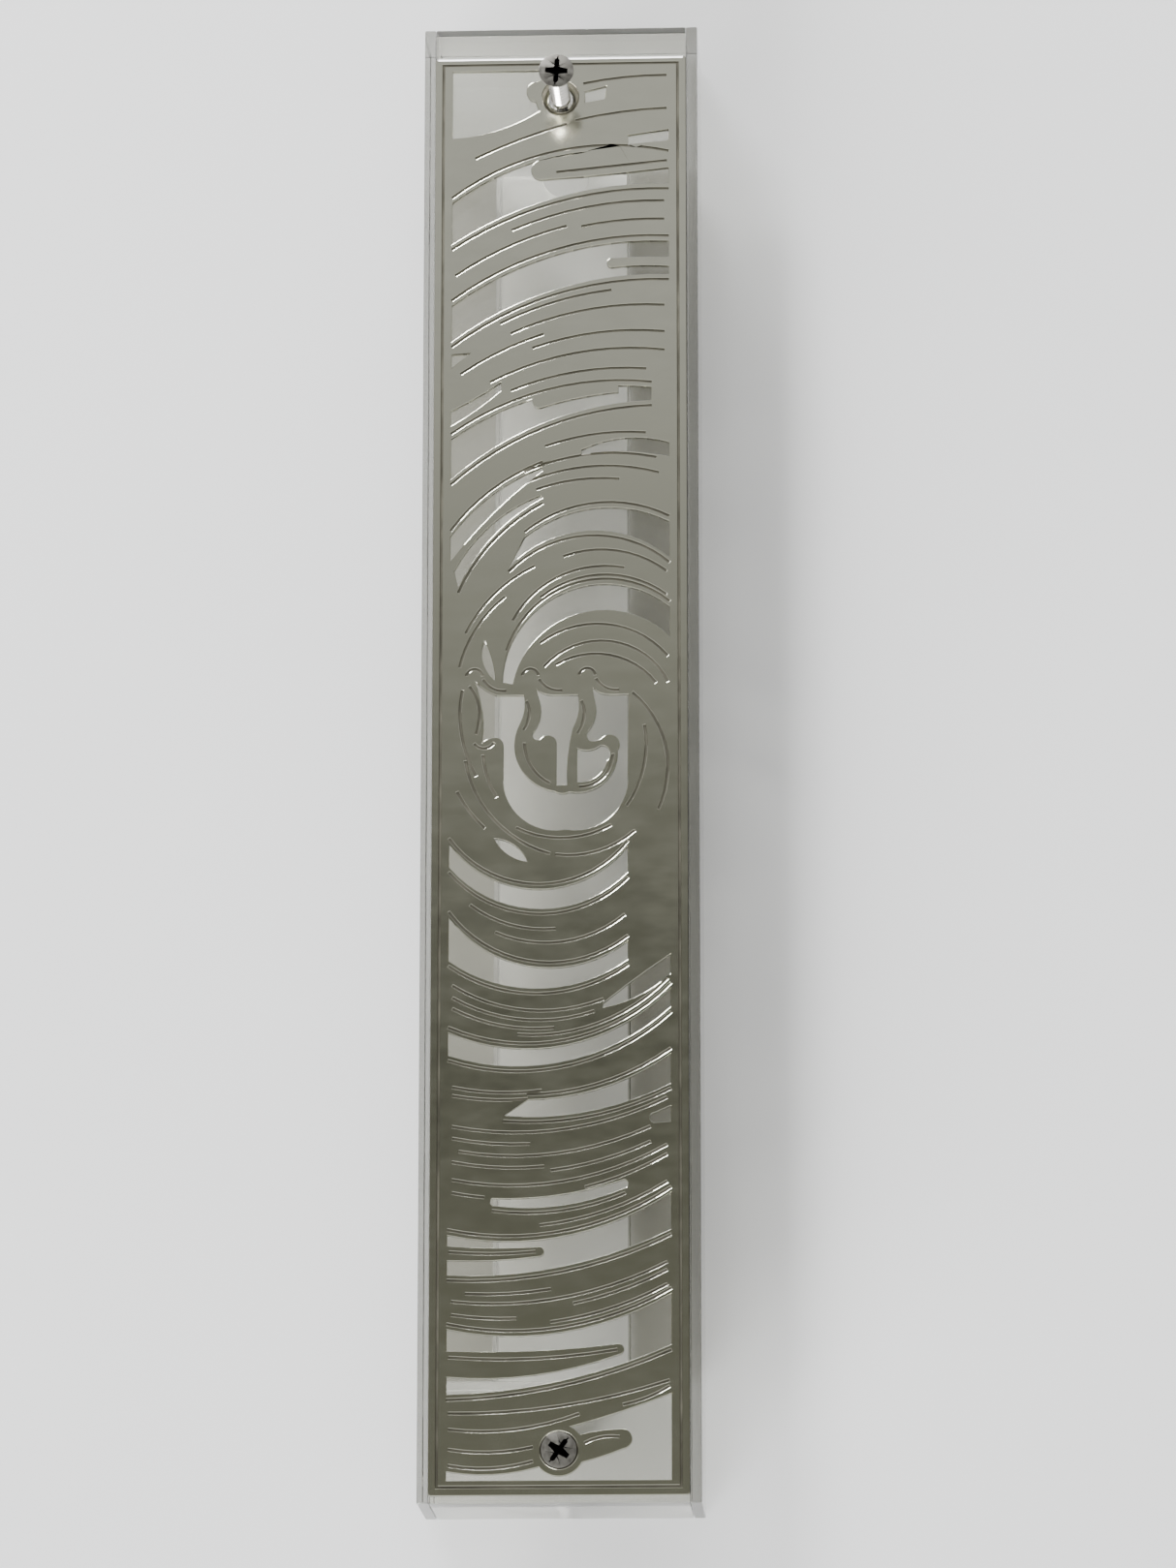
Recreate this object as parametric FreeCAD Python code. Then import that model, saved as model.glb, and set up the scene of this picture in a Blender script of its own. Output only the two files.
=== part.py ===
"""Mezuzah case: a clear acrylic box with a pierced metal face plate and two screws.

Frame, in millimetres: X to the right, -Y towards the room (the decorated face),
+Y into the doorpost, +Z up. The origin is the centre of the back face.
"""
import FreeCAD, Part
import os
from FreeCAD import Vector

# ---------------------------------------------------------------- driving sizes
case_length = 154.0          # Z, end to end
core_width = 26.0            # X, between the side walls
side_wall = 1.2              # thickness of each side wall
front_sheet = 3.0            # thickness of the front panel
core_depth = 10.0            # rails and end blocks behind the front panel
channel_width = 13.5         # space for the rolled scroll
end_block_height = 12.5

cover_thickness = 1.5
cover_gap = 0.1              # all round the back cover
thumb_notch_radius = 2.5

plate_width = 26.0
plate_length = 150.0
plate_thickness = 0.7
plate_bottom_margin = 0.7    # from the lower end of the case to the plate
plate_corner_radius = 0.3
frame_side = 1.8             # solid rim beside the pierced field
frame_end = 1.5              # solid rim above and below it
border_inset = 0.85          # engraved border line, from the plate's edge

groove_width = 0.25
groove_depth = 0.15
groove_offset = 0.55         # from the edge of an opening to the line beside it

screw_inset = 4.5            # screw axis to the end of the plate
screw_length = 20.0
screw_head_diameter = 3.6
screw_diameter = 2.0
screw_rim = 0.1              # flat cylindrical edge of the head
screw_point = 3.0            # length of the tapered tip
recess_span = 2.4
recess_width = 0.6
recess_depth = 0.8
hole_diameter = 2.5
countersink_diameter = 3.9
screw_boss_radius = 2.6      # metal left round each screw hole
top_screw_proud = 8.6        # the top screw is drawn partly out at rest

# ---------------------------------------------------------------- derived sizes
case_width = core_width + 2 * side_wall
case_depth = front_sheet + core_depth
half_length = case_length / 2
channel_length = case_length - 2 * end_block_height
panel_front = -case_depth
plate_front = panel_front - plate_thickness
plate_top = plate_bottom_margin + plate_length - half_length
plate_left = -plate_width / 2
top_screw_z = plate_top - screw_inset
bottom_screw_z = plate_top - plate_length + screw_inset
field_left = frame_side
field_right = plate_width - frame_side
field_top = frame_end
field_bottom = plate_length - frame_end


def block(x_low, x_high, y_low, y_high, z_low, z_high):
    size = (x_high - x_low, y_high - y_low, z_high - z_low)
    return Part.makeBox(*size, Vector(x_low, y_low, z_low))


def cylinder_y(diameter, x, z, y_start, y_end):
    """A round bar along +Y."""
    return Part.makeCylinder(diameter / 2, y_end - y_start, Vector(x, y_start, z), Vector(0, 1, 0))


def cone_y(diameter_start, diameter_end, x, z, y_start, y_end):
    """A tapered bar along +Y."""
    radii = (diameter_start / 2, diameter_end / 2)
    return Part.makeCone(*radii, y_end - y_start, Vector(x, y_start, z), Vector(0, 1, 0))


# ---------------------------------------------------------------- acrylic case
def front_panel():
    panel = block(-core_width / 2, core_width / 2, panel_front, -core_depth, -half_length, half_length)
    for z in (top_screw_z, bottom_screw_z):
        panel = panel.cut(cylinder_y(hole_diameter, 0, z, panel_front - 1, 1))
    return panel


def side_wall_plate(side):
    inner = side * core_width / 2
    outer = side * case_width / 2
    return block(min(inner, outer), max(inner, outer), panel_front, 0, -half_length, half_length)


def rail(side):
    inner = side * channel_width / 2
    outer = side * core_width / 2
    half_channel = channel_length / 2
    return block(min(inner, outer), max(inner, outer), -core_depth, 0, -half_channel, half_channel)


def end_block(side, screw_z):
    inner = side * channel_length / 2
    outer = side * half_length
    body = block(-core_width / 2, core_width / 2, -core_depth, 0, min(inner, outer), max(inner, outer))
    return body.cut(cylinder_y(hole_diameter, 0, screw_z, -core_depth - 1, 1))


def back_cover():
    half_width = channel_width / 2 - cover_gap
    half_height = channel_length / 2 - cover_gap
    strip = block(-half_width, half_width, -cover_thickness, 0, -half_height, half_height)
    notch = cylinder_y(2 * thumb_notch_radius, 0, half_height, -cover_thickness - 1, 1)
    return strip.cut(notch)


# ---------------------------------------------------------------- face plate
# The pattern is drawn in plate coordinates: u to the right from the left edge,
# v down from the top edge. An edge is two points (straight) or three (an arc).
def on_plate(point):
    u, v = point
    return Vector(plate_left + u, plate_front, plate_top - v)


def edge(points):
    places = [on_plate(p) for p in points]
    if len(places) == 2:
        return Part.LineSegment(*places).toShape()
    return Part.Arc(*places).toShape()


def closing_edge(start, end, bulge):
    """Joins two edge ends: straight, or a half-round that stands out by bulge."""
    middle = ((start[0] + end[0]) / 2 + bulge, (start[1] + end[1]) / 2)
    return edge((start, middle, end)) if bulge else edge((start, end))


def region(upper, lower, left_bulge=0, right_bulge=0):
    """The area between an upper and a lower edge, both drawn left to right."""
    sides = [edge(upper)]
    if upper[-1] != lower[-1]:
        sides.append(closing_edge(upper[-1], lower[-1], right_bulge))
    sides.append(edge(lower))
    if upper[0] != lower[0]:
        sides.append(closing_edge(lower[0], upper[0], -left_bulge))
    return Part.Face(Part.Wire(Part.__sortEdges__(sides)))


def raised(face, thickness=plate_thickness):
    return face.extrude(Vector(0, thickness, 0))


def part_of(points, start, end):
    """The stretch of an arc between two fractions of its length."""
    curve = edge(points)
    low, high = curve.ParameterRange
    places = []
    for fraction in (start, (start + end) / 2, end):
        place = curve.valueAt(low + (high - low) * fraction)
        places.append((place.x - plate_left, plate_top - place.z))
    return places


def shifted(points, down):
    return [(u, v + down) for u, v in points]


def between(upper, lower, fraction):
    """An arc lying between two others."""
    pairs = zip(upper, lower)
    return [(a[0] + (b[0] - a[0]) * fraction, a[1] + (b[1] - a[1]) * fraction) for a, b in pairs]


def concentric(points, grow):
    """The same arc on a radius larger by grow."""
    circle = edge(points).Curve
    centre_u = circle.Center.x - plate_left
    centre_v = plate_top - circle.Center.z
    scale = 1 + grow / circle.Radius
    return [(centre_u + (u - centre_u) * scale, centre_v + (v - centre_v) * scale) for u, v in points]


def groove(points):
    """A shallow engraved line, as the tool that cuts it."""
    half = groove_width / 2
    band = region(concentric(points, half), concentric(points, -half))
    band.translate(Vector(0, -groove_depth, 0))
    return raised(band, 2 * groove_depth)


# The sweeps of the pattern are the openings between strokes, from the top down.
# Each has an upper and a lower edge, (left, middle, right).
crest = [
    (((1.8, 15.8), (8.4, 12.1), (24.2, 11.0)), ((1.8, 20.3), (9.6, 16.3), (24.2, 14.0))),
    (((1.8, 26.9), (9.2, 22.7), (24.2, 20.2)), ((1.8, 30.8), (10.4, 26.0), (24.2, 23.8))),
    (((1.8, 41.2), (9.6, 37.2), (22.4, 35.9)), ((1.8, 45.5), (9.4, 40.4), (22.4, 37.3))),
    (((1.8, 51.5), (5.6, 47.5), (11.2, 44.3)), ((1.8, 54.2), (5.7, 49.6), (11.2, 44.7))),
    (((2.2, 55.2), (5.8, 50.5), (11.0, 47.3)), ((2.6, 57.0), (6.1, 51.6), (11.2, 47.6))),
    (((9.4, 51.7), (16.0, 48.8), (24.2, 50.2)), ((7.8, 54.8), (15.6, 51.1), (24.2, 54.0))),
]
bowl = [
    (((1.8, 83.8), (10.6, 88.6), (19.9, 84.2)), ((1.8, 86.2), (10.8, 90.6), (19.9, 86.9))),
    (((1.8, 91.4), (10.4, 96.6), (19.9, 94.0)), ((1.8, 95.9), (11.2, 98.8), (19.9, 95.9))),
    (((1.8, 103.3), (10.4, 105.0), (24.2, 98.9)), ((1.8, 105.6), (10.4, 106.7), (24.2, 100.8))),
    (((9.8, 110.2), (17.4, 109.0), (24.2, 105.6)), ((7.4, 111.8), (16.4, 111.3), (24.2, 108.6))),
    (((1.8, 123.9), (10.2, 124.5), (24.2, 119.7)), ((1.8, 127.9), (11.0, 127.5), (24.2, 123.4))),
    (((1.8, 133.4), (9.6, 134.1), (24.2, 129.9)), ((1.8, 139.9), (9.8, 139.2), (24.2, 135.0))),
]
slits = [
    (((14.9, 4.0), (17.8, 3.3)), ((14.9, 5.2), (17.6, 4.7))),
    (((20.0, 8.7), (22.0, 8.4), (24.2, 8.1)), ((20.0, 9.7), (22.0, 9.5), (24.2, 9.3))),
    (((1.8, 32.2), (3.8, 32.0)), ((1.8, 33.6), (3.8, 32.0))),
    (((1.8, 38.2), (4.4, 36.8), (6.9, 35.2)), ((1.8, 39.8), (4.4, 38.1), (6.9, 36.1))),
    (((15.2, 42.5), (19.6, 41.3), (24.2, 41.8)), ((15.2, 43.0), (19.6, 42.7), (24.2, 43.3))),
    (((5.3, 62.6), (6.1, 64.7), (6.4, 66.8)), ((5.3, 62.6), (5.2, 64.9), (6.4, 66.8))),
    (((6.4, 83.3), (8.4, 84.0), (9.7, 85.7)), ((6.4, 83.3), (7.7, 84.9), (9.7, 85.7))),
    (((17.4, 100.4), (20.5, 98.0), (24.2, 95.4)), ((17.4, 100.8), (20.6, 99.8), (24.2, 97.4))),
]
# The great crescent above the letter, and the long thin slit low on the plate.
crescent_upper = ((7.2, 67.0), (11.8, 58.5), (24.2, 59.2))
crescent_lower = ((8.2, 67.2), (13.4, 60.4), (24.2, 62.3))
slit_upper = ((6.3, 120.2), (13.0, 119.9), (19.4, 118.4))
slit_lower = ((6.3, 120.9), (13.4, 120.9), (19.6, 119.2))

# Brush ends: strokes with a round tip that reach into the openings.
tips_from_right = [
    (((11.0, 11.3), (16.6, 10.4), (24.6, 10.0)), ((11.0, 13.4), (16.8, 13.0), (24.6, 12.2))),
    (((18.3, 22.0), (21.4, 21.9), (25.0, 22.0)), ((18.3, 23.0), (21.6, 22.8), (25.0, 23.0))),
    (((10.8, 36.6), (15.0, 35.4), (19.0, 35.0)), ((10.9, 38.0), (15.2, 36.9), (19.0, 36.4))),
    (((10.5, 2.7), (11.8, 2.4), (13.1, 2.3)), ((10.6, 4.9), (11.8, 5.0), (13.1, 5.0))),
]
tips_from_left = [
    (((1.0, 124.9), (6.0, 125.2), (11.0, 125.1)), ((1.0, 126.4), (6.0, 126.5), (11.0, 126.1))),
    (((1.0, 135.5), (9.4, 135.6), (18.9, 134.9)), ((1.0, 138.1), (10.0, 138.1), (19.0, 136.0))),
    (((12.0, 144.9), (15.6, 143.8), (19.2, 143.4)), ((12.0, 147.3), (15.8, 146.6), (19.4, 145.4))),
]


def end_windows():
    """The clear windows round the two screws, which frame the pattern."""
    first_stroke = ((field_left, 8.8), (7.0, 7.8), (11.3, 5.6))
    top_left = region(((field_left, field_top), (11.3, field_top)), first_stroke)
    last_stroke = ((11.6, 143.8), (17.6, 142.2), (field_right, 139.9))
    bottom_right = region(last_stroke, ((11.6, field_bottom), (field_right, field_bottom)))
    under_stroke = ((field_left, 147.6), (6.8, 147.9), (11.6, 147.0))
    bottom_left = region(under_stroke, ((field_left, field_bottom), (11.6, field_bottom)))
    return [top_left, bottom_right, bottom_left]


def openings():
    faces = [region(upper, lower) for upper, lower in crest + bowl + slits]
    faces.append(region(crescent_upper, crescent_lower))
    faces.append(region(slit_upper, slit_lower, left_bulge=0.2, right_bulge=0.4))
    faces.append(region(((22.6, 111.6), (24.2, 110.9)), ((22.6, 112.6), (24.2, 112.5)), left_bulge=0.5))
    return faces + end_windows()


def brush_tips():
    faces = []
    for upper, lower in tips_from_right:
        faces.append(region(upper, lower, left_bulge=(lower[0][1] - upper[0][1]) / 2))
    for upper, lower in tips_from_left:
        faces.append(region(upper, lower, right_bulge=(lower[-1][1] - upper[-1][1]) / 2))
    return faces


# ---------------------------------------------------------------- the letter
# A plain letter shin: three arms with small crowns that stand in a U-shaped window.
letter_window_steps = [
    ((4.3, 66.8),), ((5.4, 67.8), (6.6, 68.4)), ((20.0, 68.4),), ((19.9, 76.6),),
    ((18.4, 80.9), (13.6, 82.4)), ((8.8, 80.9), (7.3, 76.6)), ((7.3, 73.6),),
    ((6.9, 72.9), (6.3, 72.8)), ((5.7, 72.9), (5.1, 73.3)), ((5.2, 70.2), (4.3, 66.8)),
]
middle_arm_steps = [
    ((9.3, 68.2),), ((9.4, 69.8), (8.9, 71.4)), ((9.1, 76.2), (12.7, 78.5)), ((12.7, 73.3),),
    ((12.0, 72.6), (11.1, 72.9)), ((10.4, 72.9), (10.4, 72.2)), ((11.1, 70.4), (10.8, 68.4)),
    ((10.5, 67.5), (10.0, 66.8)), ((9.5, 67.4), (9.3, 68.2)),
]
right_arm_steps = [
    ((14.8, 68.2),), ((14.9, 70.1), (14.3, 71.9)), ((13.8, 74.8), (13.8, 78.5)),
    ((17.5, 77.6), (18.9, 74.2)), ((18.6, 72.7), (17.4, 72.8)), ((16.7, 73.2), (16.1, 73.2)),
    ((15.8, 72.8), (15.9, 72.2)), ((16.7, 70.4), (16.5, 68.6)), ((16.3, 67.6), (15.8, 66.8)),
    ((15.1, 67.4), (14.8, 68.2)),
]
foot_window_steps = [
    ((14.8, 74.0),), ((16.0, 74.2), (17.2, 73.7)), ((18.0, 74.1), (17.8, 75.3)),
    ((16.8, 76.9), (14.8, 77.5)), ((14.8, 74.0),),
]
crown_centres = (4.3, 10.0, 15.8)


def outline(steps):
    """A closed face: each step is one point, or a point to pass through and an end."""
    here = steps[0][0]
    sides = []
    for step in steps[1:]:
        sides.append(edge((here, *step)))
        here = step[-1]
    return Part.Face(Part.Wire(sides))


def letter_windows():
    """The U-shaped window, with a curved gap that rises to the right of each crown."""
    faces = [outline(letter_window_steps)]
    for u in crown_centres[1:]:
        curve = ((u, 66.8), (u + 0.8, 67.9), (u + 2.3, 68.4))
        faces.append(region(curve, ((u, 68.6), (u + 2.3, 68.6))))
    return faces


def letter_faces():
    bridge = region(((12.4, 77.8), (14.2, 77.8)), ((12.4, 78.4), (13.3, 78.7), (14.2, 78.4)))
    return [outline(middle_arm_steps), outline(right_arm_steps).cut(outline(foot_window_steps)), bridge]


def letter_lines():
    """Engraved lines that give the arms their crowns and shoulders."""
    lines = []
    for u in crown_centres:
        lines.append(((u - 0.8, 66.3), (u, 65.6), (u + 0.8, 66.3)))
        lines.append(((u + 0.9, 66.7), (u + 1.6, 67.5), (u + 3.2, 67.9)))
    lines.append(((3.8, 67.4), (4.8, 69.8), (4.5, 72.4)))
    lines.append(((4.3, 73.4), (5.1, 73.9), (6.3, 73.3)))
    lines.append(((5.2, 74.6), (5.6, 76.8), (6.6, 79.0)))
    lines.append(((9.6, 69.0), (9.9, 70.2), (9.3, 72.0)))
    lines.append(((15.2, 69.0), (15.5, 70.4), (14.8, 72.4)))
    lines.append(((9.4, 73.4), (10.2, 76.0), (12.0, 77.6)))
    lines.append(((15.0, 78.0), (17.2, 77.2), (18.4, 74.6)))
    return lines


# ---------------------------------------------------------------- engraving
def lines_beside_openings():
    lines = []
    for upper, lower in crest[:3] + crest[5:] + bowl:
        lines.append(shifted(upper, -groove_offset))
        lines.append(shifted(lower, groove_offset))
    lines.append(shifted(crest[3][0], -groove_offset))
    lines.append(shifted(crest[4][1], groove_offset))
    lines.append(shifted(part_of(crescent_upper, 0.12, 1), -groove_offset))
    lines.append(shifted(slit_lower, groove_offset))
    return lines


# Edges of the wide strokes: crest strokes rise to the right, bowl strokes sag.
top_stroke = (crest[0][1], crest[1][0])
second_stroke = (crest[1][1], ((1.8, 41.2), (9.6, 37.2), (24.2, 36.2)))
third_stroke = (crest[2][1], ((1.8, 55.0), (9.0, 49.0), (24.2, 49.2)))
inner_stroke = (((7.8, 55.0), (15.6, 51.3), (24.2, 54.2)), crescent_upper)
first_bowl_stroke = (bowl[0][1], bowl[1][0])
second_bowl_stroke = (((1.8, 96.2), (11.2, 99.6), (24.2, 93.6)), bowl[2][0])
third_bowl_stroke = (
    ((1.8, 105.8), (10.4, 107.0), (24.2, 101.2)),
    ((1.8, 110.6), (12.0, 110.6), (24.2, 105.4)),
)
broad_stroke = (
    ((1.8, 111.6), (12.0, 112.2), (24.2, 108.8)),
    ((1.8, 123.6), (10.2, 124.2), (24.2, 119.4)),
)
low_stroke = (bowl[4][1], bowl[5][0])

# Finer lines along the wide strokes: (stroke, share of the way down, from, to).
fine_lines = [
    (top_stroke, 0.30, 0.30, 0.98), (top_stroke, 0.55, 0.02, 0.55), (top_stroke, 0.62, 0.62, 0.98),
    (second_stroke, 0.12, 0.25, 0.75), (second_stroke, 0.27, 0.30, 0.98), (second_stroke, 0.40, 0.05, 0.45),
    (second_stroke, 0.50, 0.40, 0.98), (second_stroke, 0.66, 0.20, 0.98), (second_stroke, 0.84, 0.30, 0.90),
    (third_stroke, 0.30, 0.50, 0.95), (third_stroke, 0.52, 0.40, 0.98), (third_stroke, 0.66, 0.35, 0.98),
    (third_stroke, 0.80, 0.45, 0.80), (inner_stroke, 0.30, 0.40, 0.98), (inner_stroke, 0.62, 0.10, 0.75),
    (inner_stroke, 0.80, 0.35, 0.98), (first_bowl_stroke, 0.35, 0.15, 0.60),
    (first_bowl_stroke, 0.58, 0.30, 0.98), (second_bowl_stroke, 0.28, 0.02, 0.66),
    (second_bowl_stroke, 0.46, 0.02, 0.62), (second_bowl_stroke, 0.62, 0.02, 0.45),
    (second_bowl_stroke, 0.74, 0.30, 0.98), (third_bowl_stroke, 0.62, 0.02, 0.40),
    (third_bowl_stroke, 0.80, 0.02, 0.34), (broad_stroke, 0.10, 0.02, 0.98), (broad_stroke, 0.20, 0.02, 0.36),
    (broad_stroke, 0.30, 0.05, 0.90), (broad_stroke, 0.40, 0.02, 0.42), (broad_stroke, 0.44, 0.45, 0.90),
    (broad_stroke, 0.55, 0.02, 0.98), (broad_stroke, 0.66, 0.02, 0.16), (broad_stroke, 0.64, 0.60, 0.98),
    (broad_stroke, 0.90, 0.40, 0.98), (low_stroke, 0.32, 0.08, 0.45), (low_stroke, 0.48, 0.02, 0.98),
    (low_stroke, 0.60, 0.55, 0.98), (low_stroke, 0.72, 0.02, 0.30), (low_stroke, 0.82, 0.45, 0.98),
]


def lines_in_strokes():
    return [part_of(between(*stroke, share), start, end) for stroke, share, start, end in fine_lines]


# Single strokes of the graver that follow no opening.
free_lines = [
    ((4.2, 11.0), (8.8, 9.0), (13.6, 7.4)), ((14.6, 7.0), (19.0, 6.2), (24.0, 5.8)),
    ((15.4, 3.0), (19.4, 2.4), (24.0, 2.2)), ((12.6, 12.6), (17.6, 12.1), (24.0, 11.5)),
    ((2.0, 125.6), (6.0, 125.8), (10.6, 125.6)), ((2.0, 136.2), (9.6, 136.4), (18.8, 135.5)),
    ((2.0, 141.8), (11.0, 141.4), (24.0, 138.6)), ((2.0, 143.4), (8.0, 143.5), (15.0, 141.9)),
    ((2.0, 145.4), (6.2, 145.7), (10.4, 145.2)), ((2.0, 147.0), (6.2, 147.3), (10.4, 146.6)),
    ((15.6, 144.8), (17.4, 144.2), (19.0, 144.2)), ((19.4, 141.0), (21.8, 140.3), (24.0, 139.2)),
    ((3.4, 61.8), (6.4, 57.6), (10.4, 54.8)), ((2.8, 65.4), (4.4, 61.4), (7.4, 58.0)),
    ((11.0, 62.9), (15.8, 61.0), (24.0, 64.4)), ((11.4, 65.4), (16.2, 62.8), (24.0, 67.1)),
    ((12.6, 65.2), (16.8, 64.1), (22.8, 67.2)), ((21.6, 71.6), (21.4, 76.6), (19.8, 80.0)),
    ((20.4, 68.2), (23.6, 73.2), (23.0, 80.4)), ((3.1, 67.8), (3.0, 72.5), (4.5, 76.8)),
    ((3.4, 75.2), (6.4, 81.4), (12.0, 84.9)), ((12.6, 85.0), (16.4, 84.8), (20.6, 82.6)),
    ((2.6, 78.4), (3.8, 80.4), (5.4, 82.2)), ((8.6, 82.2), (13.5, 83.3), (18.2, 82.0)),
]


def border_groove():
    """The engraved line that runs round the plate just inside its edge."""
    depth = 2 * groove_depth
    low, high = border_inset, plate_width - border_inset
    top, bottom = border_inset, plate_length - border_inset
    frames = []
    for grow in (groove_width / 2, -groove_width / 2):
        corner = on_plate((low - grow, bottom + grow))
        size = (high - low + 2 * grow, depth, bottom - top + 2 * grow)
        frames.append(Part.makeBox(*size, Vector(corner.x, corner.y - groove_depth, corner.z)))
    return frames[0].cut(frames[1])


def face_plate():
    corner = on_plate((0, plate_length))
    plate = Part.makeBox(plate_width, plate_thickness, plate_length, corner)
    upright = [e for e in plate.Edges if abs(e.tangentAt(0).y) > 0.9]
    plate = plate.makeFillet(plate_corner_radius, upright)

    holes = [raised(face) for face in openings() + letter_windows()]
    plate = plate.cut(holes)

    bosses = []
    for z in (top_screw_z, bottom_screw_z):
        bosses.append(cylinder_y(2 * screw_boss_radius, 0, z, plate_front, panel_front))
    returns = [raised(face) for face in brush_tips() + letter_faces()] + bosses
    plate = plate.fuse(returns).removeSplitter()

    plate = plate.cut(border_groove())
    for points in lines_beside_openings() + lines_in_strokes() + letter_lines() + free_lines:
        plate = plate.cut(groove(points))
    for z in (top_screw_z, bottom_screw_z):
        plate = plate.cut(cone_y(countersink_diameter, hole_diameter, 0, z, plate_front, panel_front))
    return plate


# ---------------------------------------------------------------- screws
def screw(z, proud):
    """A countersunk cross-recess screw with the face of its head proud of the plate."""
    face = plate_front - proud
    seat = face + screw_rim
    cone_end = seat + (screw_head_diameter - screw_diameter) / 2
    tip = face + screw_length
    body = cylinder_y(screw_head_diameter, 0, z, face, seat)
    body = body.fuse(cone_y(screw_head_diameter, screw_diameter, 0, z, seat, cone_end))
    body = body.fuse(cylinder_y(screw_diameter, 0, z, cone_end, tip - screw_point))
    body = body.fuse(cone_y(screw_diameter, 0.3, 0, z, tip - screw_point, tip))
    half_span, half_width = recess_span / 2, recess_width / 2
    slots = [
        block(-half_span, half_span, face - 1, face + recess_depth, z - half_width, z + half_width),
        block(-half_width, half_width, face - 1, face + recess_depth, z - half_span, z + half_span),
    ]
    return body.removeSplitter().cut(slots)


def main():
    os.makedirs("parts", exist_ok=True)
    nodes = {
        "front_panel": front_panel(),
        "left_side_wall": side_wall_plate(-1),
        "right_side_wall": side_wall_plate(1),
        "left_rail": rail(-1),
        "right_rail": rail(1),
        "top_block": end_block(1, top_screw_z),
        "bottom_block": end_block(-1, bottom_screw_z),
        "back_cover": back_cover(),
        "face_plate": face_plate(),
        "top_screw": screw(top_screw_z, top_screw_proud),
        "bottom_screw": screw(bottom_screw_z, screw_rim),
    }
    for name, shape in nodes.items():
        if not shape.isValid() or len(shape.Solids) != 1:
            raise ValueError(f"{name}: valid {shape.isValid()}, solids {len(shape.Solids)}")
        shape.Solids[0].exportStep(f"parts/{name}.step")
        print(f"{name:16s} {shape.Volume:9.1f} mm3, {len(shape.Faces)} faces")


main()
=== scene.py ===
# %% [markdown]
# # Mezuzah case: looks
# The case is a clear acrylic box that holds a rolled scroll. A pierced metal plate
# lies on its front, and two screws hold plate and case on a doorpost. The CAD model
# gives every size and place. This lesson gives each piece its polished edges and
# its finish, and then sets up a table, soft light and a camera.

# %% Load the frame
import math

import bmesh
import bpy
from mathutils import Euler, Matrix, Vector
from mathutils.kdtree import KDTree


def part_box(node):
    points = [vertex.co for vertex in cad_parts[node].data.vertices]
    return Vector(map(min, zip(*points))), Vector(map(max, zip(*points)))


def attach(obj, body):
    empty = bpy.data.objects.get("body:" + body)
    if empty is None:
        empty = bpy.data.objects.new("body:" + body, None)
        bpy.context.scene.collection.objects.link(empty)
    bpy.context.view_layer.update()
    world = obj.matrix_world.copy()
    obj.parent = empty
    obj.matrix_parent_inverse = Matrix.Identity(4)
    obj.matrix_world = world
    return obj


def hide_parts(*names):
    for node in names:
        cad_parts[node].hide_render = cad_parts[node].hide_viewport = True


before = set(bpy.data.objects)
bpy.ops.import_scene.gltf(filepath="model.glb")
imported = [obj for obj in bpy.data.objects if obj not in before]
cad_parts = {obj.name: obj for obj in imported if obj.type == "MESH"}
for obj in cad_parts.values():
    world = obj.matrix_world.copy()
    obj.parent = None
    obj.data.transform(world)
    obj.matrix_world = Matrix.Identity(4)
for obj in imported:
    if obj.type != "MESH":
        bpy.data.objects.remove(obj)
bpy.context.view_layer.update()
MM = 0.001

# %% [markdown]
# ## Small helpers for node materials
# A finish is a tree of shader nodes. Three helpers keep the trees short to read:
# one makes a material and hands back its Principled node, one adds a node and sets
# its values, and one joins two sockets. Patterns read Object coordinates, so they
# stay on the piece in every view.


# %% Node helpers
def new_material(name):
    material = bpy.data.materials.new(name)
    material.use_nodes = True
    tree = material.node_tree
    return material, tree, tree.nodes["Principled BSDF"]


def add_node(tree, kind, **values):
    """Adds a node; a value goes to the property or to the input of that name."""
    node = tree.nodes.new(kind)
    for name, value in values.items():
        title = name.replace("_", " ")
        if hasattr(node, name):
            setattr(node, name, value)
        else:
            node.inputs[title].default_value = value
    return node


def noise(tree, scale, detail=3.0, stretch=(1, 1, 1)):
    """A noise pattern in object space: scale is in features per metre."""
    place = add_node(tree, "ShaderNodeTexCoord")
    mapping = add_node(tree, "ShaderNodeMapping", Scale=stretch)
    pattern = add_node(tree, "ShaderNodeTexNoise", Scale=scale, Detail=detail)
    tree.links.new(place.outputs["Object"], mapping.inputs["Vector"])
    tree.links.new(mapping.outputs["Vector"], pattern.inputs["Vector"])
    return pattern.outputs["Fac"]


def spread(tree, factor, low, high, start=0.3, end=0.7):
    """Turns a pattern into a number between low and high."""
    node = add_node(tree, "ShaderNodeMapRange")
    for name, value in (("From Min", start), ("From Max", end), ("To Min", low), ("To Max", high)):
        node.inputs[name].default_value = value
    tree.links.new(factor, node.inputs["Value"])
    return node.outputs["Result"]


def blend_colours(tree, factor, first, second):
    node = add_node(tree, "ShaderNodeMix", data_type="RGBA")
    colours = [socket for socket in node.inputs if socket.type == "RGBA"]
    colours[0].default_value = (*first, 1)
    colours[1].default_value = (*second, 1)
    tree.links.new(factor, node.inputs["Factor"])
    return next(socket for socket in node.outputs if socket.type == "RGBA")


def bump(tree, shader, height, distance, strength=1.0):
    node = add_node(tree, "ShaderNodeBump", Strength=strength, Distance=distance)
    tree.links.new(height, node.inputs["Height"])
    tree.links.new(node.outputs["Normal"], shader.inputs["Normal"])


print("helpers ready")

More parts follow.
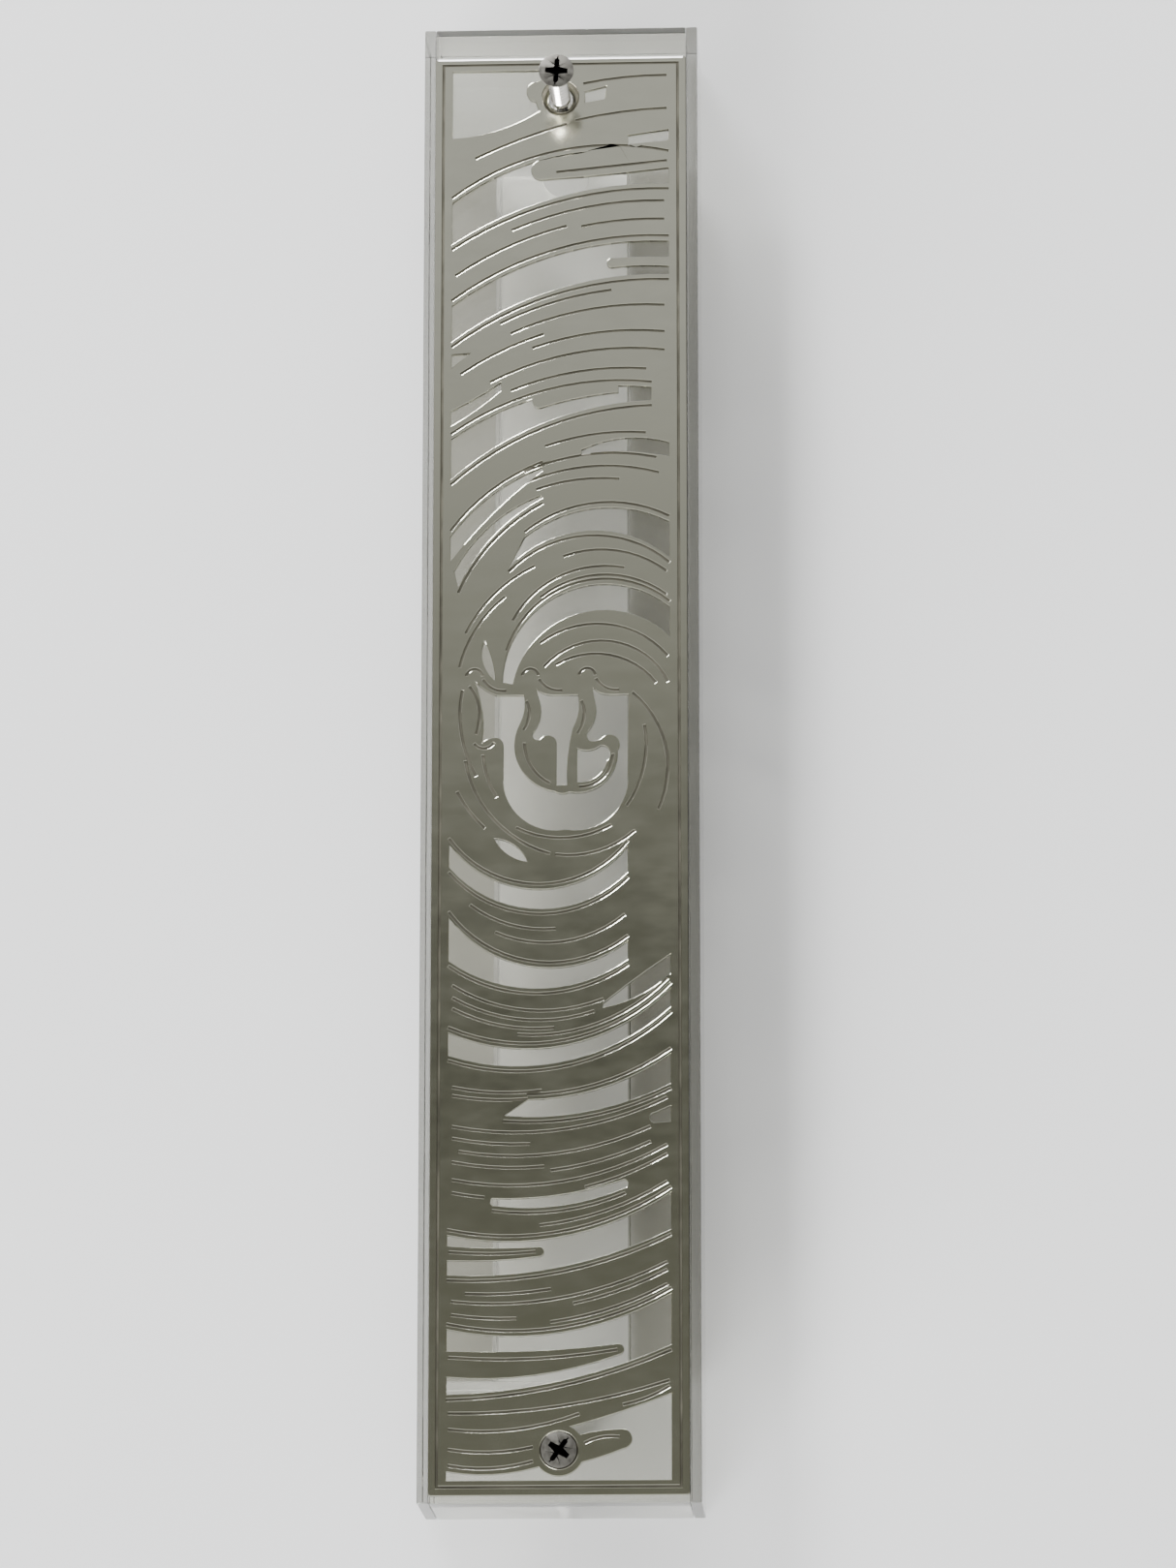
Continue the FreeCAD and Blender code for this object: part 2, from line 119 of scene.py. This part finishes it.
# %% [markdown]
# ## Clear acrylic
# The walls, rails and blocks are cut from cast acrylic sheet. Their broad faces are
# glossy with a few hairline scratches, and the sawn ends are a little dull. Glass
# that refracts would leave a black shadow on the table, so rays that carry light
# (shadow and diffuse rays) meet a faintly tinted Transparent shader instead.
#
# A sheet looks clear through its broad face and dark along its narrow edge, partly
# as the path in the plastic is longer there and partly because the shaded table under
# it shows through. Two simple masks stand in for that: the side walls and rails have
# one tint on their narrow faces and a clearer one on their broad ones, a painted shade,
# and the front sheet's sawn ends are a dark strip where they are seen from inside, a
# painted dark reflection.


# %% Clear acrylic finish
def let_light_through(material, tree, shader, tint):
    """Mixes in a Transparent shader for the rays that light what lies behind."""
    rays = add_node(tree, "ShaderNodeLightPath")
    either = add_node(tree, "ShaderNodeMath", operation="MAXIMUM")
    clear = add_node(tree, "ShaderNodeBsdfTransparent")
    clear.inputs["Color"].default_value = (*tint, 1)
    mix = add_node(tree, "ShaderNodeMixShader")
    tree.links.new(rays.outputs["Is Shadow Ray"], either.inputs[0])
    tree.links.new(rays.outputs["Is Diffuse Ray"], either.inputs[1])
    tree.links.new(either.outputs["Value"], mix.inputs["Fac"])
    tree.links.new(shader.outputs["BSDF"], mix.inputs[1])
    tree.links.new(clear.outputs["BSDF"], mix.inputs[2])
    tree.links.new(mix.outputs["Shader"], tree.nodes["Material Output"].inputs["Surface"])


def paint_dark_end_reflection(tree, shader, ends):
    """Paints the sawn end of a sheet as a dark strip where it is seen from inside: a painted dark
    reflection.
    """
    inside = add_node(tree, "ShaderNodeNewGeometry")
    both = add_node(tree, "ShaderNodeMath", operation="MULTIPLY")
    tree.links.new(inside.outputs["Backfacing"], both.inputs[0])
    tree.links.new(ends, both.inputs[1])
    shade = both.outputs["Value"]
    clear = shader.inputs["Base Color"].default_value[:3]
    tint = blend_colours(tree, shade, clear, (0.03, 0.03, 0.035))
    tree.links.new(tint, shader.inputs["Base Color"])
    tree.links.new(spread(tree, shade, 1.0, 0.1, 0, 1), shader.inputs["Transmission Weight"])


def acrylic_material(name, colour, smooth, sawn, painted_end_reflection=False, broad=None):
    """Cast acrylic: glossy faces, and sawn ends where the surface faces up or down."""
    material, tree, shader = new_material(name)
    shader.inputs["Base Color"].default_value = (*colour, 1)
    shader.inputs["Transmission Weight"].default_value = 1.0
    shader.inputs["IOR"].default_value = 1.49
    surface = add_node(tree, "ShaderNodeTexCoord")
    parts = add_node(tree, "ShaderNodeSeparateXYZ")
    ends = add_node(tree, "ShaderNodeMath", operation="ABSOLUTE")
    tree.links.new(surface.outputs["Normal"], parts.inputs["Vector"])
    tree.links.new(parts.outputs["Z"], ends.inputs[0])
    polish = spread(tree, noise(tree, 260, stretch=(1, 1, 0.2)), smooth, smooth * 2.2)
    rough = add_node(tree, "ShaderNodeMix", data_type="FLOAT")
    at_end = spread(tree, ends.outputs["Value"], 0, 1, 0.8, 0.95)
    tree.links.new(at_end, rough.inputs["Factor"])
    tree.links.new(polish, rough.inputs["A"])
    rough.inputs["B"].default_value = sawn
    tree.links.new(rough.outputs["Result"], shader.inputs["Roughness"])
    bump(tree, shader, noise(tree, 900, 2.0, (1, 1, 0.05)), 0.02 * MM, 0.2)
    # painted dark reflection: the sawn ends turn near-black and opaque where they are seen from inside
    if painted_end_reflection:
        paint_dark_end_reflection(tree, shader, at_end)
    # the narrow faces keep the darker colour, a painted shade; the broad faces get the clearer one
    if broad is not None:  # the broad side faces are clearer than the sheet's narrow edge
        sideways = add_node(tree, "ShaderNodeMath", operation="ABSOLUTE")
        tree.links.new(parts.outputs["X"], sideways.inputs[0])
        at_side = spread(tree, sideways.outputs["Value"], 0, 1, 0.5, 0.9)
        tree.links.new(blend_colours(tree, at_side, colour, broad), shader.inputs["Base Color"])
    return material, tree, shader


SAWN_ROUGHNESS = 0.3
BROAD_FACE = (0.93, 0.93, 0.915)
clear_acrylic, tree, shader = acrylic_material(
    "clear_cast_acrylic", (0.82, 0.82, 0.79), 0.012, SAWN_ROUGHNESS
)
let_light_through(clear_acrylic, tree, shader, (0.9, 0.9, 0.89))
# the front sheet carries the painted dark reflection on its sawn ends
front_acrylic, tree, shader = acrylic_material(
    "front_sheet_acrylic", (0.78, 0.78, 0.745), 0.012, SAWN_ROUGHNESS, painted_end_reflection=True
)
let_light_through(front_acrylic, tree, shader, (0.9, 0.9, 0.89))
# painted shade: the rails' narrow faces get a dark tint for the shaded table seen through them
rail_acrylic, tree, shader = acrylic_material(
    "thick_rail_acrylic", (0.72, 0.715, 0.68), 0.02, SAWN_ROUGHNESS, broad=BROAD_FACE
)
let_light_through(rail_acrylic, tree, shader, (0.8, 0.795, 0.775))
# painted shade: the side walls' narrow edges get a much darker tint, partly the long path in the plastic
# and partly the shaded table it shows
wall_acrylic, tree, shader = acrylic_material(
    "side_wall_acrylic", (0.4, 0.4, 0.375), 0.015, SAWN_ROUGHNESS, broad=BROAD_FACE
)
let_light_through(wall_acrylic, tree, shader, (0.88, 0.88, 0.87))
for finish in (clear_acrylic, front_acrylic, rail_acrylic, wall_acrylic):
    print("finish", finish.name)

# %% [markdown]
# ## Frosted acrylic
# The strip that closes the scroll channel from behind is translucent: the same
# sheet with a fine sanded surface. More roughness blurs what is seen through it.

# %% Frosted finish
frosted_acrylic, tree, shader = new_material("frosted_acrylic")
shader.inputs["Transmission Weight"].default_value = 1.0
shader.inputs["IOR"].default_value = 1.49
cloud = noise(tree, 120, 4.0)
milk = blend_colours(tree, cloud, (0.93, 0.93, 0.92), (0.98, 0.98, 0.97))
tree.links.new(milk, shader.inputs["Base Color"])
tree.links.new(spread(tree, noise(tree, 1800, 4.0), 0.42, 0.6), shader.inputs["Roughness"])
bump(tree, shader, noise(tree, 3500, 2.0), 0.02 * MM, 0.35)
let_light_through(frosted_acrylic, tree, shader, (0.95, 0.95, 0.945))
print("finish", frosted_acrylic.name)

# %% [markdown]
# ## Copying a CAD node
# The CAD meshes are loose triangles with knife-sharp edges. A copy is merged, flat
# areas become single faces, and its sharp edges get a small bevel, because a real
# edge is never perfectly sharp and it is the rounded edge that catches the light.
# Two acrylic faces in the same place would fight each other, so each acrylic piece
# is drawn in by a hair on every side.


# %% Copy helper
MERGE_DISTANCE = 0.001 * MM
FLAT_ANGLE = 1    # degrees: faces that turn by less are one flat face
SHARP_ANGLE = 40  # degrees: edges that turn by more are rounded


def merged_copy(node):
    """A bmesh of a CAD node with its triangles joined into clean flat faces."""
    mesh = bmesh.new()
    mesh.from_mesh(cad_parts[node].data)
    bmesh.ops.remove_doubles(mesh, verts=mesh.verts, dist=MERGE_DISTANCE)
    flat = math.radians(FLAT_ANGLE)
    bmesh.ops.dissolve_limit(mesh, angle_limit=flat, verts=mesh.verts, edges=mesh.edges)
    return mesh


def sharp_edges(mesh, least_angle=SHARP_ANGLE):
    """The outward edges whose faces turn by more than least_angle degrees."""
    limit = math.radians(least_angle)
    outward = [edge for edge in mesh.edges if edge.is_manifold and edge.is_convex]
    return [edge for edge in outward if edge.calc_face_angle() > limit]


def soften_edges(mesh, edges, width, segments):
    bmesh.ops.bevel(
        mesh, geom=edges, affect="EDGES", offset=width, offset_type="OFFSET",
        segments=segments, profile=0.5, material=-1, clamp_overlap=False,
    )


def finish_piece(mesh, name, body, materials, nodes=(), smooth_angle=None):
    """Writes the bmesh to an object at the origin, and ties it to the frame."""
    data = bpy.data.meshes.new(name)
    mesh.to_mesh(data)
    mesh.free()
    piece = bpy.data.objects.new(name, data)
    bpy.context.scene.collection.objects.link(piece)
    for material in materials:
        data.materials.append(material)
    if smooth_angle is not None:
        data.shade_smooth()
        data.set_sharp_from_angle(angle=math.radians(smooth_angle))
        even = piece.modifiers.new("even_shading", "WEIGHTED_NORMAL")
        even.keep_sharp = True
        even.weight = 100
    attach(piece, body)
    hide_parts(*nodes)
    print(f"{name}: {len(data.polygons)} faces on body {body}")
    return piece


# %% Acrylic pieces
JOINT_GAP = 0.015 * MM  # left between two pieces that touch
POLISHED_EDGE = 0.12 * MM
ACRYLIC_SMOOTH_ANGLE = 30


def acrylic_piece(node, body, material):
    low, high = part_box(node)
    centre = (low + high) / 2
    mesh = merged_copy(node)
    bmesh.ops.translate(mesh, verts=mesh.verts, vec=-centre)
    drawn_in = Vector((1 - 2 * JOINT_GAP / side for side in high - low))
    bmesh.ops.scale(mesh, verts=mesh.verts, vec=drawn_in)
    bmesh.ops.translate(mesh, verts=mesh.verts, vec=centre)
    soften_edges(mesh, sharp_edges(mesh), POLISHED_EDGE, 2)
    name = node + "_acrylic"
    return finish_piece(mesh, name, body, [material], [node], ACRYLIC_SMOOTH_ANGLE)


acrylic_piece("front_panel", "case", front_acrylic)
for end in ("top", "bottom"):
    acrylic_piece(end + "_block", "case", clear_acrylic)
for side in ("left", "right"):
    acrylic_piece(side + "_rail", "case", rail_acrylic)
    acrylic_piece(side + "_side_wall", "case", wall_acrylic)
acrylic_piece("back_cover", "back_cover", frosted_acrylic)

# %% [markdown]
# ## The face plate
# The plate is etched and pierced nickel-coloured metal. Its flat areas are a soft
# mirror. The engraved lines show because their floors and walls are a dark metal, a
# painted shade for the narrow grooves, and their rounded edges catch the light, and
# the plate's upper edge is a near-white metal, a painted highlight.
# The metal is one Principled shader with Metallic at 1; fine noise in its roughness
# gives the slight haze of a brushed and lacquered sheet. A face with this many holes
# in it is split into triangles before its edges are rounded, so that it stays flat.
# The piece is shaded flat, because smoothing would bend the mirror near its edges.

# %% Plate metal
plate_metal, tree, shader = new_material("nickel_plate")
shader.inputs["Metallic"].default_value = 1.0
haze = noise(tree, 45, 4.0, (1, 1, 0.6))
nickel = blend_colours(tree, haze, (0.545, 0.545, 0.455), (0.585, 0.585, 0.49))
tree.links.new(nickel, shader.inputs["Base Color"])
brushed = spread(tree, noise(tree, 700, 3.0, (0.4, 1, 1)), 0.11, 0.16)
tree.links.new(brushed, shader.inputs["Roughness"])
bump(tree, shader, noise(tree, 2200, 3.0, (0.5, 1, 1)), 0.002 * MM, 0.1)
# painted shade: a dark metal for the floors and walls of the engraved lines, standing in for the shade
# inside the narrow grooves
groove_shade_metal, tree, shader = new_material("etched_line_painted_shade")
shader.inputs["Metallic"].default_value = 1.0
groove_shade_mottle = noise(tree, 300, 3.0)
groove_shade_colour = blend_colours(tree, groove_shade_mottle, (0.13, 0.125, 0.1), (0.27, 0.26, 0.21))
tree.links.new(groove_shade_colour, shader.inputs["Base Color"])
tree.links.new(spread(tree, groove_shade_mottle, 0.3, 0.45), shader.inputs["Roughness"])
# painted highlight: the rounded top edge gets a near-white metal for the bright strip of light along it
edge_highlight_metal, tree, shader = new_material("plate_edge_painted_highlight")
shader.inputs["Metallic"].default_value = 1.0
wear_and_sheen = noise(tree, 400, 3.0)
painted_edge_highlight = blend_colours(tree, wear_and_sheen, (0.93, 0.93, 0.92), (1.0, 1.0, 0.99))
tree.links.new(painted_edge_highlight, shader.inputs["Base Color"])
tree.links.new(spread(tree, wear_and_sheen, 0.4, 0.5), shader.inputs["Roughness"])
print("finishes", plate_metal.name, groove_shade_metal.name, edge_highlight_metal.name)

# %% Plate piece
PLATE_EDGE = 0.05 * MM
PLATE_TOP_EDGE = 0.35 * MM
LINE_TOP = 0.06 * MM  # an engraved line's walls and floor lie between these depths
LINE_FLOOR = 0.3 * MM
ON_FACE = 0.01 * MM
MOST_OVERSHOOT = 3 * PLATE_EDGE
plate_low, plate_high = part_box("face_plate")
plate_mesh = merged_copy("face_plate")
bmesh.ops.triangulate(plate_mesh, faces=plate_mesh.faces)


def on_top_edge(edge):
    """True for the long front edge at the plate's upper end."""
    at_top = all(vert.co.z > plate_high.z - ON_FACE for vert in edge.verts)
    at_front = all(vert.co.y < plate_low.y + ON_FACE for vert in edge.verts)
    return at_top and at_front


upper = [edge for edge in sharp_edges(plate_mesh) if on_top_edge(edge)]
soften_edges(plate_mesh, upper, PLATE_TOP_EDGE, 3)
rounded = sharp_edges(plate_mesh)
corners = KDTree(len(plate_mesh.verts))
for number, vert in enumerate(plate_mesh.verts):
    corners.insert(vert.co, number)
corners.balance()
soften_edges(plate_mesh, rounded, PLATE_EDGE, 2)
pulled_back = 0
for vert in plate_mesh.verts:  # at a hair-thin corner the bevel can overshoot
    corner, number, distance = corners.find(vert.co)
    if distance > MOST_OVERSHOOT:
        vert.co = corner
        pulled_back += 1
print("points pulled back to their corner:", pulled_back)
print("rounded edges on the plate:", len(upper), "wide and", len(rounded), "fine")
for face in plate_mesh.faces:
    depth = face.calc_center_median().y - plate_low.y
    # painted shade: the groove floors and walls take the dark line metal
    if LINE_TOP < depth < LINE_FLOOR and not face.normal.y > 0:
        face.material_index = 1
    # painted highlight: the upward faces of the top edge's rounding take the near-white metal
    if face.calc_center_median().z > plate_high.z - PLATE_TOP_EDGE and face.normal.z > 0.1:
        face.material_index = 2
plate_materials = [plate_metal, groove_shade_metal, edge_highlight_metal]
finish_piece(plate_mesh, "face_plate_metal", "case", plate_materials, ["face_plate"])

# %% [markdown]
# ## Screws
# Each is a small countersunk screw with a cross recess. The head starts as a flat
# disc with a cross-shaped hole: a 3 by 3 grid loses its corners to become the
# cross, which is pushed in for the recess. The disc's rim is then drawn back, ring
# by ring, into the cone, the shank and the point. The thread is one triangle wound
# round the shank with a spin that also steps along it.

# %% Screw metal
screw_metal, tree, shader = new_material("screw_nickel")
shader.inputs["Metallic"].default_value = 1.0
wear_and_sheen = noise(tree, 900, 4.0)
bright = blend_colours(tree, wear_and_sheen, (0.55, 0.53, 0.49), (0.72, 0.7, 0.66))
tree.links.new(bright, shader.inputs["Base Color"])
tree.links.new(spread(tree, noise(tree, 1500, 3.0), 0.1, 0.26), shader.inputs["Roughness"])
bump(tree, shader, noise(tree, 4000, 2.0), 0.01 * MM, 0.3)
face_metal, tree, shader = new_material("screw_face_satin")
shader.inputs["Metallic"].default_value = 1.0
grain = noise(tree, 2400, 4.0)
satin = blend_colours(tree, grain, (0.13, 0.125, 0.115), (0.2, 0.195, 0.175))
tree.links.new(satin, shader.inputs["Base Color"])
tree.links.new(spread(tree, grain, 0.34, 0.5), shader.inputs["Roughness"])
bump(tree, shader, grain, 0.02 * MM, 0.4)
# painted shade: the walls of the cross recess get a near-black colour for the shade inside it
recess_dark, tree, shader = new_material("recess_shade")
shader.inputs["Metallic"].default_value = 0.6
recess_shade_mottle = noise(tree, 3000, 3.0)
shade = blend_colours(tree, recess_shade_mottle, (0.03, 0.028, 0.024), (0.12, 0.11, 0.09))
tree.links.new(shade, shader.inputs["Base Color"])
tree.links.new(spread(tree, recess_shade_mottle, 0.3, 0.6), shader.inputs["Roughness"])
print("finishes", screw_metal.name, face_metal.name, recess_dark.name)

# %% Screw sizes
HEAD_RADIUS = 1.8 * MM
HEAD_RIM = 0.1 * MM
SHANK_RADIUS = 0.8 * MM
THREAD_RADIUS = 1.0 * MM
POINT_LENGTH = 3.0 * MM
RECESS_SPAN = 2.4 * MM
RECESS_WIDTH = 0.6 * MM
RECESS_DEPTH = 0.8 * MM
THREAD_PITCH = 0.9 * MM
ROUND_STEPS = 48
THREAD_STEPS = 24  # per turn
HEAD_EDGE = 0.05 * MM
HEAD_SHARP_ANGLE = 60
SCREW_SMOOTH_ANGLE = 35
SCREW_AXIS = Vector((0, 1, 0))
print("screw head", round(2 * HEAD_RADIUS / MM, 1), "mm across")


# %% Screw head and shank
def cross_recess(mesh):
    """A flat cross at the origin, facing -Y, pushed in with slightly tapered walls."""
    face_out = Matrix.Rotation(math.radians(90), 3, "X")
    bmesh.ops.create_grid(mesh, x_segments=3, y_segments=3, size=RECESS_SPAN / 2)
    for vert in mesh.verts:
        for axis in (0, 1):
            if abs(vert.co[axis]) < RECESS_SPAN / 4:
                vert.co[axis] *= 3 * RECESS_WIDTH / RECESS_SPAN
    middle = RECESS_WIDTH / 2
    corners = [f for f in mesh.faces if min(map(abs, f.calc_center_median()[:2])) > middle]
    bmesh.ops.delete(mesh, geom=corners, context="FACES")
    bmesh.ops.rotate(mesh, verts=mesh.verts, matrix=face_out)
    lid = mesh.faces[:]
    pushed = bmesh.ops.extrude_face_region(mesh, geom=lid)["geom"]
    bmesh.ops.delete(mesh, geom=lid, context="FACES")
    floor_verts = [item for item in pushed if isinstance(item, bmesh.types.BMVert)]
    bmesh.ops.translate(mesh, verts=floor_verts, vec=SCREW_AXIS * RECESS_DEPTH)
    bmesh.ops.scale(mesh, verts=floor_verts, vec=(0.7, 1, 0.7))
    return [edge for edge in mesh.edges if edge.is_boundary]


def draw_ring(mesh, ring, radius, depth):
    """Extrudes a ring of edges to a new radius at a depth behind the head's face."""
    made = bmesh.ops.extrude_edge_only(mesh, edges=ring)["geom"]
    verts = [item for item in made if isinstance(item, bmesh.types.BMVert)]
    before = max(math.hypot(vert.co.x, vert.co.z) for vert in verts)
    bmesh.ops.scale(mesh, verts=verts, vec=(radius / before, 1, radius / before))
    bmesh.ops.translate(mesh, verts=verts, vec=SCREW_AXIS * (depth - verts[0].co.y))
    return [item for item in made if isinstance(item, bmesh.types.BMEdge)]


def screw_body(length):
    mesh = bmesh.new()
    opening = cross_recess(mesh)
    bmesh.ops.subdivide_edges(mesh, edges=opening, cuts=3)
    opening = [edge for edge in mesh.edges if edge.is_boundary]
    turn = Matrix.Rotation(math.radians(90), 4, "X")
    circle = bmesh.ops.create_circle(
        mesh, segments=ROUND_STEPS, radius=HEAD_RADIUS, matrix=turn
    )["verts"]
    rim = list({edge for vert in circle for edge in vert.link_edges})
    bmesh.ops.bridge_loops(mesh, edges=opening + rim)
    cone_end = HEAD_RIM + HEAD_RADIUS - THREAD_RADIUS
    rings = [
        (HEAD_RADIUS, HEAD_RIM), (THREAD_RADIUS * 1.06, cone_end),
        (THREAD_RADIUS, cone_end + 0.4 * MM), (SHANK_RADIUS, cone_end + 0.8 * MM),
        (SHANK_RADIUS, length - POINT_LENGTH),
        (SHANK_RADIUS * 0.6, length - POINT_LENGTH / 3), (0.12 * MM, length),
    ]
    for radius, depth in rings:
        rim = draw_ring(mesh, rim, radius, depth)
    bmesh.ops.contextual_create(mesh, geom=rim)
    return mesh


# %% Screw thread
def add_thread(mesh, start, end):
    """Winds a closed triangular ridge round the shank, sunk a little into it."""
    root = SHANK_RADIUS * 0.9
    half = THREAD_PITCH * 0.3
    section = [
        mesh.verts.new((root, start - half, 0)),
        mesh.verts.new((THREAD_RADIUS, start, 0)),
        mesh.verts.new((root, start + half, 0)),
    ]
    cap = mesh.faces.new(section)
    turns = (end - start) / THREAD_PITCH
    steps = round(turns * THREAD_STEPS)
    print("thread turns:", round(turns, 1))
    bmesh.ops.spin(
        mesh, geom=[cap, *cap.edges, *section], cent=(0, 0, 0), axis=SCREW_AXIS,
        dvec=SCREW_AXIS * (end - start) / steps, angle=math.tau * turns, steps=steps,
        use_duplicate=False,
    )


def paint_head(mesh):
    """Gives the flat face of the head its satin finish and the walls of the recess a painted shade."""
    for face in mesh.faces:
        centre = face.calc_center_median()
        off_axis = math.hypot(centre.x, centre.z)
        if centre.y < 0.005 * MM:
            face.material_index = 1
        elif centre.y <= RECESS_DEPTH:
            # painted shade: the recess walls inside the cone take the dark material
            inside_cone = HEAD_RADIUS - centre.y - 0.2 * MM
            if off_axis < min(RECESS_SPAN / 2, inside_cone):
                face.material_index = 2


def screw(node, body, turned_by):
    low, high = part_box(node)
    length = high.y - low.y
    mesh = screw_body(length)
    add_thread(mesh, HEAD_RADIUS + 1.0 * MM, length - POINT_LENGTH * 0.7)
    bmesh.ops.recalc_face_normals(mesh, faces=mesh.faces)
    paint_head(mesh)
    sharp = sharp_edges(mesh, HEAD_SHARP_ANGLE)
    head = [edge for edge in sharp if max(vert.co.y for vert in edge.verts) < MERGE_DISTANCE]
    soften_edges(mesh, head, HEAD_EDGE, 2)
    turned = Matrix.Rotation(math.radians(turned_by), 3, SCREW_AXIS)
    bmesh.ops.rotate(mesh, verts=mesh.verts, matrix=turned)
    place = Vector(((low.x + high.x) / 2, low.y, (low.z + high.z) / 2))
    bmesh.ops.translate(mesh, verts=mesh.verts, vec=place)
    materials = [screw_metal, face_metal, recess_dark]
    name = node + "_metal"
    return finish_piece(mesh, name, body, materials, [node], SCREW_SMOOTH_ANGLE)


screw("top_screw", "top_screw", 4)
screw("bottom_screw", "bottom_screw", 36)

# %% [markdown]
# ## Table
# The case lies on its back on a pale table, so the table is an upright plane just
# behind the back face. Seen from behind it lets the eye through: its back is a
# Transparent shader, and it casts no shadow, so that the case's back is lit too.

# %% Table
TABLE_SIZE = 1.6
TABLE_GAP = 0.3 * MM
table_mesh = bmesh.new()
upright = Matrix.Translation((0, TABLE_GAP, 0)) @ Matrix.Rotation(math.radians(90), 4, "X")
bmesh.ops.create_grid(table_mesh, x_segments=8, y_segments=8, size=TABLE_SIZE / 2, matrix=upright)
table_data = bpy.data.meshes.new("pale_table")
table_mesh.to_mesh(table_data)
table_mesh.free()
table = bpy.data.objects.new("pale_table", table_data)
bpy.context.scene.collection.objects.link(table)
table.visible_shadow = False

pale_top, tree, shader = new_material("pale_table_top")
mottle = noise(tree, 30, 5.0)
pale = blend_colours(tree, mottle, (0.77, 0.775, 0.785), (0.82, 0.825, 0.83))
tree.links.new(pale, shader.inputs["Base Color"])
shader.inputs["Roughness"].default_value = 0.6
bump(tree, shader, noise(tree, 500, 3.0), 0.05 * MM, 0.2)
side = add_node(tree, "ShaderNodeNewGeometry")
through = add_node(tree, "ShaderNodeBsdfTransparent")
one_sided = add_node(tree, "ShaderNodeMixShader")
tree.links.new(side.outputs["Backfacing"], one_sided.inputs["Fac"])
tree.links.new(shader.outputs["BSDF"], one_sided.inputs[1])
tree.links.new(through.outputs["BSDF"], one_sided.inputs[2])
tree.links.new(one_sided.outputs["Shader"], tree.nodes["Material Output"].inputs["Surface"])
table_data.materials.append(pale_top)
print("table faces the room:", round(table_data.polygons[0].normal.y, 2) == -1)

# %% [markdown]
# ## Light
# The metal shows what it faces: a pale ceiling above, a darker room straight
# ahead. A colour ramp over the direction's height gives the world that gradient,
# and a few lamps add the soft shadow and the glints on the engraved lines.

# %% World
world = bpy.data.worlds.new("soft_room")
bpy.context.scene.world = world
world.use_nodes = True
tree = world.node_tree
direction = add_node(tree, "ShaderNodeTexCoord")
parts = add_node(tree, "ShaderNodeSeparateXYZ")
heights = add_node(tree, "ShaderNodeValToRGB")
tree.links.new(direction.outputs["Generated"], parts.inputs["Vector"])
to_ramp = add_node(tree, "ShaderNodeMapRange")
to_ramp.inputs["From Min"].default_value = -1.0
tree.links.new(parts.outputs["Z"], to_ramp.inputs["Value"])
tree.links.new(to_ramp.outputs["Result"], heights.inputs["Fac"])
ROOM = (  # height of the direction from -1 to 1, brightness, and how blue it is
    (-1.0, 1.5, 1.0), (-0.3, 1.0, 0.98), (0.04, 0.24, 0.86), (0.141, 0.20, 0.84), (0.17, 0.155, 0.84),
    (0.19, 0.06, 0.84), (0.21, 0.16, 0.86), (0.235, 0.28, 0.9), (0.264, 0.45, 0.94), (0.281, 0.62, 0.98),
    (0.30, 0.72, 1.0), (0.35, 0.72, 1.0), (0.5, 0.45, 1.0), (0.8, 0.45, 1.0), (1.0, 0.8, 1.0),
)
while len(heights.color_ramp.elements) < len(ROOM):
    heights.color_ramp.elements.new(0.5)
for stop, (height, brightness, blue) in zip(heights.color_ramp.elements, ROOM):
    stop.position = (height + 1) / 2
    stop.color = (brightness, brightness, brightness * blue, 1)
background = tree.nodes["Background"]
background.inputs["Strength"].default_value = 1.0
tree.links.new(heights.outputs["Color"], background.inputs["Color"])
print("world stops:", len(ROOM))


# %% Lamps
def panel_light(name, place, aim, width, height, power):
    data = bpy.data.lights.new(name, "AREA")
    data.shape = "RECTANGLE"
    data.size = width
    data.size_y = height
    data.energy = power
    lamp = bpy.data.objects.new(name, data)
    lamp.location = place
    lamp.rotation_euler = (Vector(aim) - Vector(place)).to_track_quat("-Z", "Y").to_euler()
    bpy.context.scene.collection.objects.link(lamp)
    return lamp


panel_light("ceiling_lamp", (-0.38, -0.42, 0.92), (0, 0, 0), 0.22, 0.22, 10.0)
panel_light("low_lamp", (-0.45, -0.55, 0.70), (0, 0, -0.06), 0.18, 0.18, 6.0)
panel_light("shelf_lamp", (0, -0.75, 0.76), (0, 0, 0.074), 0.5, 0.06, 3.5)
panel_light("window_left", (-0.7, -0.45, -1.15), (-0.12, 0, -0.25), 0.8, 0.8, 56.0)
print("lamps:", len(bpy.data.lights))

# %% [markdown]
# ## Camera
# A long lens a little below the case, looking slightly up its face.

# %% Camera
camera_data = bpy.data.cameras.new("camera")
camera_data.lens = 155.65
camera_data.sensor_width = 36.0
camera_data.dof.use_dof = False
camera = bpy.data.objects.new("camera", camera_data)
camera.location = (0.0340, -0.6826, -0.1596)
camera.rotation_euler = Euler([math.radians(angle) for angle in (103.0795, -0.0172, 2.6595)])
bpy.context.scene.collection.objects.link(camera)
bpy.context.scene.camera = camera
print("camera distance", round(camera.location.length, 3), "m")
